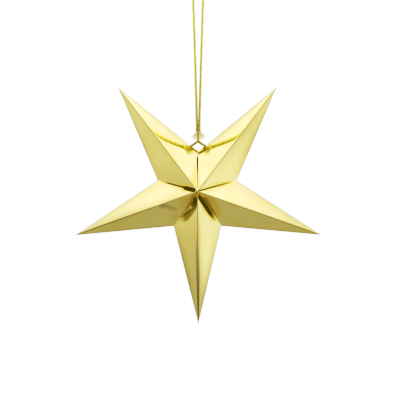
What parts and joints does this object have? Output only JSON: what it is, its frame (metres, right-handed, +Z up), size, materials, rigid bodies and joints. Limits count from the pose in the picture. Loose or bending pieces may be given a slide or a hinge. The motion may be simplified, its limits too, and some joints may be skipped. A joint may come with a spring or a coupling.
{
  "type": "hanging paper star",
  "caption": "Hanging star of folded gold mirror card with hollow pointed arms, laced shut at the top valley by a twisted gold cord that ends in a hanging loop.",
  "frame": {"origin": "the bearing point under the top of the hanging loop, straight above the middle of the star", "axes": "+Z up, the front of the star faces -Y, +X to the right seen from the front"},
  "size_m": [0.3034, 0.102, 0.4112],
  "materials": {
    "mirror_card": "gold mirror foil on card",
    "gold_cord": "twisted metallic thread",
    "frayed_thread": "loose metallic thread"
  },
  "bodies": {
    "root": {"lower_point": "mirror_card", "right_point": "mirror_card", "upper_right_point": "mirror_card", "upper_left_point": "mirror_card", "left_point": "mirror_card", "hanging_loop": "gold_cord", "closing_loop": "gold_cord", "cord_knot": "gold_cord", "frayed_ends": "frayed_thread"}
  },
  "joints": []
}
